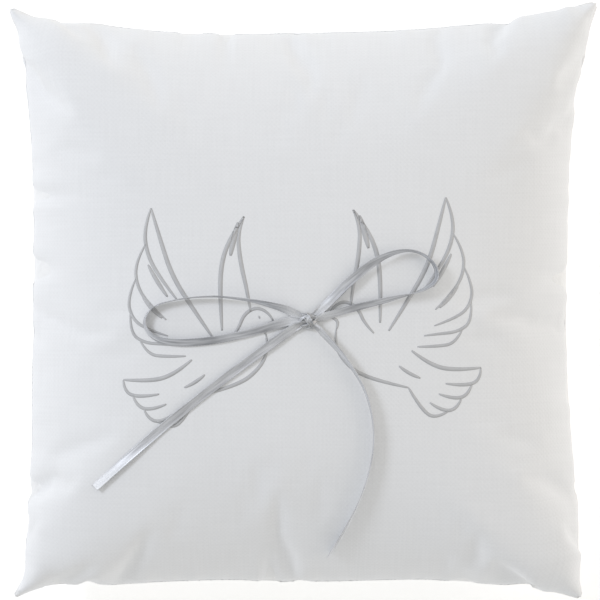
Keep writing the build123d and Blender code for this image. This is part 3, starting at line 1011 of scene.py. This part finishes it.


# ---------------------------------------------------------------------------------------------
# Bow. The two loops and two tails of the same ribbon. Nothing holds them but the knot: they lie
# on the front, partly on edge, and the tails end in slightly slanted cuts.
# ---------------------------------------------------------------------------------------------

# Each part's points from the knot outwards; at even shares of its length, its tilt in degrees, how high
# its middle stands over its edges and how high it lies over the cloth; its whole length in metres, with
# what runs into the knot; how much painted highlight its satin has, all along and at the cut, from 0 to 1;
# and the two places between which it bends when it is lifted. The rest is in millimetres.
BOW = {
    "left_loop": {
        "points": (
            (0.0, -5.2, 59.6), (-3.4, -3.9, 59.8), (-7.2, -2.0, 59.4), (-17.5, 0.6, 59.7),
            (-30.5, 2.2, 58.9), (-43.5, 1.0, 56.7), (-52.0, -1.6, 54.4), (-54.8, -7.6, 53.5),
            (-50.4, -12.8, 54.6), (-41.5, -14.0, 56.5), (-29.5, -12.8, 58.2), (-18.0, -10.2, 59.1),
            (-7.6, -6.9, 59.3), (-3.4, -6.1, 59.5), (0.0, -6.0, 59.6),
        ),
        "tilts": (-25, 40, 66, 78, 83, 85, 86, 90, 116, 138, 146, 150, 150, 152, 176, 204),
        "creases": (0.1, 0.2, 0.2, 0.1, 0.1, 0.1, 0.1, 0.2, 0.1, -0.2, -0.35, -0.35, -0.3, 0.2),
        "gaps": (0.4, 0.5, 0.9, 1.2, 1.2, 0.9, 0.5, 0.3, 0.3, 0.4, 0.5, 0.5, 0.5, 0.5, 0.6, 0.5),
        "length": 0.117,
        "painted_glint": 0.0,
        "painted_glint_at_cut": 0.0,
        "lifts_over": ((-2.0, -4.6, 59.6), (-12.0, -4.2, 59.4)),
    },
    "right_loop": {
        "points": (
            (2.4, -5.0, 59.6), (4.6, -3.2, 59.8), (7.6, -0.6, 59.4), (16.4, 8.4, 60.1),
            (26.8, 16.0, 60.0), (36.6, 18.0, 58.2), (43.6, 13.6, 56.4), (45.0, 7.6, 55.8),
            (39.6, 3.6, 57.1), (29.6, 1.2, 58.4), (18.6, -1.4, 59.2), (8.6, -4.2, 59.2),
            (5.0, -5.4, 59.5), (2.2, -6.0, 59.6),
        ),
        "tilts": (8, 15, 12, 0, -29, -58, -76, -77, -64, -62, -100, -124, -136, -140, -142, -175),
        "creases": (0.1, 0.15, -0.25, -0.3, -0.1, 0.1, 0.1, 0.1, 0.1, -0.3, -0.35, -0.3, 0.1),
        "gaps": (0.5, 0.9, 1.5, 1.8, 1.6, 1.2, 0.8, 0.5, 0.3, 0.3, 0.3, 0.4, 0.5, 0.5, 0.6, 0.5),
        "length": 0.101,
        "painted_glint": 0.1,
        "painted_glint_at_cut": 0.0,
        "lifts_over": ((3.0, -3.6, 59.6), (13.0, -1.6, 59.4)),
    },
    "left_tail": {
        "points": (
            (0.2, -6.6, 59.6), (-2.6, -8.0, 59.6), (-6.0, -10.3, 59.2), (-21.5, -21.6, 58.4),
            (-38.5, -34.6, 56.4), (-55.2, -48.5, 52.4), (-71.0, -62.8, 46.2),
        ),
        "tilts": (30, 8, 6, 14, 20, 8, -10, -22, -26),
        "creases": (0.1, -0.1, -0.25, -0.3, -0.3, -0.2, -0.05, 0.1, 0.1),
        "gaps": (0.6, 0.9, 0.7, 0.4, 0.3, 0.3, 0.25, 0.3, 0.35),
        "length": 0.092,
        "painted_glint": 0.35,
        "painted_glint_at_cut": 0.95,
        "lifts_over": ((-1.8, -7.4, 59.6), (-11.0, -14.0, 59.0)),
    },
    "right_tail": {
        "points": (
            (2.2, -7.0, 59.6), (4.0, -8.6, 59.6), (6.4, -10.8, 59.2), (14.6, -19.8, 59.0),
            (21.6, -31.5, 57.9), (23.9, -47.0, 55.6), (20.6, -62.0, 51.8), (14.6, -75.4, 45.8),
            (8.3, -85.9, 38.2),
        ),
        "tilts": (140, 122, 106, 98, 95, 93, 88, 80, 76),
        "creases": (0.1, 0.1, 0.1),
        "gaps": (0.5, 0.5, 0.3, 0.25, 0.25, 0.25, 0.25, 0.25, 0.3),
        "length": 0.094,
        "painted_glint": 0.5,
        "painted_glint_at_cut": 0.5,
        "lifts_over": ((3.2, -8.2, 59.6), (10.0, -15.0, 59.0)),
    },
}
GATHERED_MM = 5.0  # how far out from the knot the ribbon's pleats run
KNOT_GATHER = 0.6  # share of its width that the knot leaves
CUT_SLANT = 0.35  # of a tail's end
GLINT_NEAR_KNOT_MM = 9.0
GLINT_NEAR_CUT_MM = 16.0
TILT_BLUR_STEPS, DROP_BLUR_STEPS = 8, 10

for part, bow in BOW.items():
    line, along = evenly_spaced(smooth_line(bow["points"]), RIBBON_STEP_MM)
    share = along / along[-1]
    tilt = soften(np.interp(share, np.linspace(0, 1, len(bow["tilts"])), bow["tilts"]), TILT_BLUR_STEPS)
    gap = np.interp(share, np.linspace(0, 1, len(bow["gaps"])), bow["gaps"]) * MM
    is_loop = part.endswith("loop")
    to_knot = np.minimum(along, along[-1] - along) if is_loop else along
    gather = KNOT_GATHER + (1 - KNOT_GATHER) * smooth_step(to_knot / (GATHERED_MM * MM))
    crease = np.interp(share, np.linspace(0, 1, len(bow["creases"])), bow["creases"])
    rings = ribbon_sections(line, along, tilt, gather, crease)
    clear = np.array([min(z - cloth_height(x, y) for x, y, z in ring) for ring in rings])
    drop = soften(clear - gap, DROP_BLUR_STEPS)
    rings[:, :, 2] -= drop[:, None]
    line[:, 2] -= drop
    if not is_loop:
        slant = CUT_SLANT * np.concatenate([ACROSS, ACROSS[::-1]]) * 0.5 * RIBBON_WIDTH_MM * MM
        way = (line[-1] - line[-2]) / np.linalg.norm(line[-1] - line[-2])
        rings[-1] += slant[:, None] * way
    # Painted highlight: each part's satin is painted paler and glittering by its own share all along, and
    # more so near the knot and near a tail's cut end.
    painted_glint = np.maximum(bow["painted_glint"], KNOT_PAINTED_GLINT * np.exp(-((to_knot / MM / GLINT_NEAR_KNOT_MM) ** 2)))
    to_cut = along[-1] - along
    painted_glint = np.maximum(painted_glint, bow["painted_glint_at_cut"] * np.exp(-((to_cut / MM / GLINT_NEAR_CUT_MM) ** 2)))
    ribbon = ribbon_piece("bow_" + part, [(rings, along, painted_glint)], silver_satin)
    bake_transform(ribbon)
    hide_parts("ribbon_" + part)


# ---------------------------------------------------------------------------------------------
# Table, light and camera. A white light table under the pillow, a soft light high on its upper
# left, two weaker ones low on the right and at the head, and a camera straight above.
# ---------------------------------------------------------------------------------------------



def opal_acrylic():
    """Opal acrylic, lit from below: an even, matt white glow."""
    material, tree = new_material("opal_acrylic_lit")
    shader = add(
        tree,
        "ShaderNodeBsdfPrincipled",
        [
            ("Base Color", linear("#F6F6F5")),
            ("Roughness", 0.6),
            ("Emission Color", linear("#FFFEFC")),
            ("Emission Strength", 0.36),
        ],
    )
    add(tree, "ShaderNodeOutputMaterial", (), [("Surface", shader, 0)])
    return material


table_mesh = bpy.data.meshes.new("light_table")
table_mesh.from_pydata([(-3, -3, 0), (3, -3, 0), (3, 3, 0), (-3, 3, 0)], [], [(0, 1, 2, 3)])
table_mesh.materials.append(opal_acrylic())
table = bpy.data.objects.new("light_table", table_mesh)
bpy.context.scene.collection.objects.link(table)

for name, place, size, power, colour in (
    ("softbox_left", (-1.22, 0.62, 1.05), 0.42, 9.5, "#EEF3FF"),
    ("softbox_right", (1.6, 0.2, 0.5), 1.0, 6.5, "#FFF4E8"),
    ("softbox_head", (-0.1, 1.6, 0.45), 1.0, 0.9, "#FFF9F0"),
):
    light = bpy.data.lights.new(name, "AREA")
    light.size = size
    light.energy = power
    light.color = linear(colour)[:3]
    lamp = bpy.data.objects.new(name, light)
    lamp.location = place
    lamp.rotation_euler = (-Vector(place)).to_track_quat("-Z", "Y").to_euler()
    bpy.context.scene.collection.objects.link(lamp)

world = bpy.data.worlds.new("studio_walls")
world.use_nodes = True
world.node_tree.nodes["Background"].inputs["Color"].default_value = linear("#FCFCFB")
world.node_tree.nodes["Background"].inputs["Strength"].default_value = 0.6
bpy.context.scene.world = world
bpy.context.scene.view_settings.view_transform = "Standard"

LENS_MM = 400
VIEW_WIDTH_MM = 205.1  # what the view takes in at the height of the seam
VIEW_MIDDLE_MM = (-1.6, 0.7)
camera_data = bpy.data.cameras.new("camera")
camera_data.lens = LENS_MM
camera_data.sensor_width = 36
camera = bpy.data.objects.new("camera", camera_data)
distance = VIEW_WIDTH_MM * MM * LENS_MM / camera_data.sensor_width
camera.location = (VIEW_MIDDLE_MM[0] * MM, VIEW_MIDDLE_MM[1] * MM, SEAM_RISE_MM * MM + distance)
bpy.context.scene.collection.objects.link(camera)
bpy.context.scene.camera = camera
